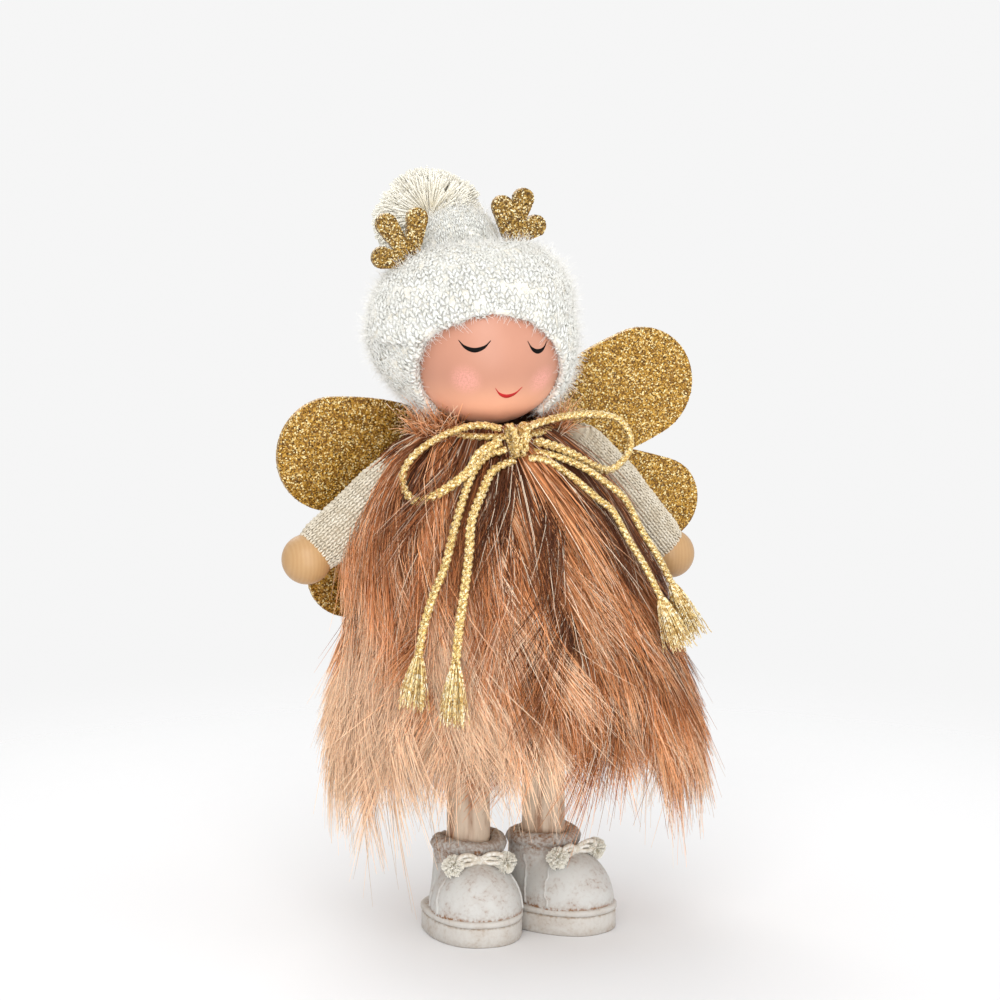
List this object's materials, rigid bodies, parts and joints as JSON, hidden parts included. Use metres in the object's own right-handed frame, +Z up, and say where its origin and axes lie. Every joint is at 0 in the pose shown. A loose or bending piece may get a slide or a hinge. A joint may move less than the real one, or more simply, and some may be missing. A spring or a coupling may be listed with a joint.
{
  "type": "plush angel",
  "caption": "Standing soft-dressed angel figure with ball head, knitted bobble hat, antlers, foam wings, fur dress, bead hands, gold cord bow and cast shoes.",
  "frame": {"origin": "on the floor, under the middle of the angel without its bow cords", "axes": "+Z up, the angel faces -Y and its own left is +X"},
  "size_m": [0.1532, 0.1088, 0.2429],
  "materials": {
    "resin": "matte cast resin, brown wash in the hollows",
    "leg_paint": "painted, brown wash streaks",
    "plywood": "raw",
    "stuffing": "cloth over fibre filling",
    "fur": "long combed pile",
    "bare_wood": "sanded, unvarnished",
    "painted_skin": "satin paint",
    "hat_knit": "fuzzy knit",
    "hat_yarn": "cut yarn",
    "glitter_foam": "glittered foam sheet",
    "sleeve_knit": "rib knit",
    "wire": "drawn wire",
    "felt": "pressed felt",
    "gold_cord": "braided metallic thread"
  },
  "bodies": {
    "torso": {"left_shoe": "resin", "right_shoe": "resin", "left_leg": "leg_paint", "right_leg": "leg_paint", "base_disc": "plywood", "body_core": "stuffing", "fur_dress": "fur", "neck_dowel": "bare_wood", "wing_pad": "felt", "neck_cord": "gold_cord", "bow_knot": "gold_cord", "left_bow_loop": "gold_cord", "right_bow_loop": "gold_cord", "left_outer_tail": "gold_cord", "left_inner_tail": "gold_cord", "right_outer_tail": "gold_cord", "right_inner_tail": "gold_cord", "left_outer_tassel": "gold_cord", "left_inner_tassel": "gold_cord", "right_outer_tassel": "gold_cord", "right_inner_tassel": "gold_cord"},
    "head": {"head_ball": "painted_skin", "knit_hat": "hat_knit", "pompom": "hat_yarn", "left_antler": "glitter_foam", "right_antler": "glitter_foam"},
    "left_arm": {"left_sleeve": "sleeve_knit", "left_hand_bead": "bare_wood", "left_arm_wire": "wire"},
    "right_arm": {"right_sleeve": "sleeve_knit", "right_hand_bead": "bare_wood", "right_arm_wire": "wire"},
    "left_wing": {"left_wing": "glitter_foam"},
    "right_wing": {"right_wing": "glitter_foam"}
  },
  "joints": [
    {"name": "head_turn", "type": "hinge", "parent": "torso", "child": "head", "pos_m": [-0.00813, 0.00321, 0.163], "axis": [0, 0, 1], "range_deg": [-30, 30]},
    {"name": "left_arm_raise", "type": "hinge", "parent": "torso", "child": "left_arm", "pos_m": [0.02557, 0.00421, 0.154], "axis": [0, -1, 0], "range_deg": [0, 50]},
    {"name": "right_arm_raise", "type": "hinge", "parent": "torso", "child": "right_arm", "pos_m": [-0.03043, 0.00421, 0.154], "axis": [0, 1, 0], "range_deg": [0, 38]},
    {"name": "left_wing_flex", "type": "hinge", "parent": "torso", "child": "left_wing", "pos_m": [0.00594, 0.02531, 0.14831], "axis": [-0.1564, 0, 0.9877], "range_deg": [0, 35], "stiffness_Nm_per_rad": 0.03},
    {"name": "right_wing_flex", "type": "hinge", "parent": "torso", "child": "right_wing", "pos_m": [0.00199, 0.02531, 0.14769], "axis": [0.1564, 0, -0.9877], "range_deg": [0, 35], "stiffness_Nm_per_rad": 0.03}
  ]
}
